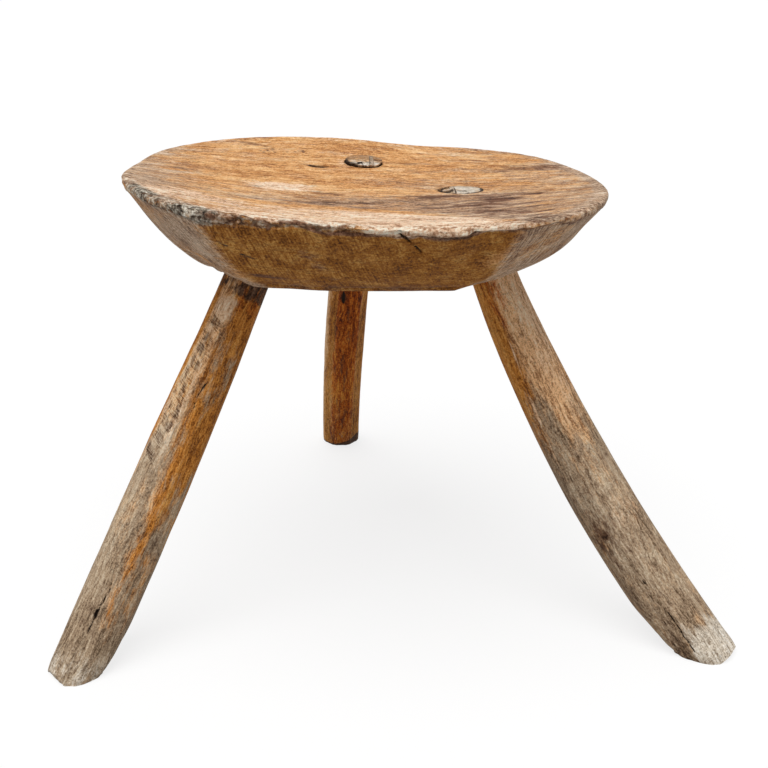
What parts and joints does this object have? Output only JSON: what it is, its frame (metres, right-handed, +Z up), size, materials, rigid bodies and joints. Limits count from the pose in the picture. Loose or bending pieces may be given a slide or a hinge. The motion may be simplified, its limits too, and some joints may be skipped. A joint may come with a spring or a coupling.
{
  "type": "milking stool",
  "caption": "Low hewn stool with a round dished slab seat on splayed pole legs, whose wedged tenons show on top, to sit on while milking.",
  "frame": {"origin": "on the floor under the middle of the stool's box", "axes": "+Z up, +X to the right and -Y towards the viewer, with two legs at the front and one behind"},
  "size_m": [0.5195, 0.4998, 0.3534],
  "materials": {
    "seat_wood": "hand worn, matt",
    "leg_wood": "hewn and hand worn, matt",
    "wedge_wood": "raw end grain, matt"
  },
  "bodies": {
    "root": {"seat": "seat_wood", "leg_left": "leg_wood", "leg_right": "leg_wood", "leg_rear": "leg_wood", "wedge_left": "wedge_wood", "wedge_right": "wedge_wood", "wedge_rear": "wedge_wood"}
  },
  "joints": []
}
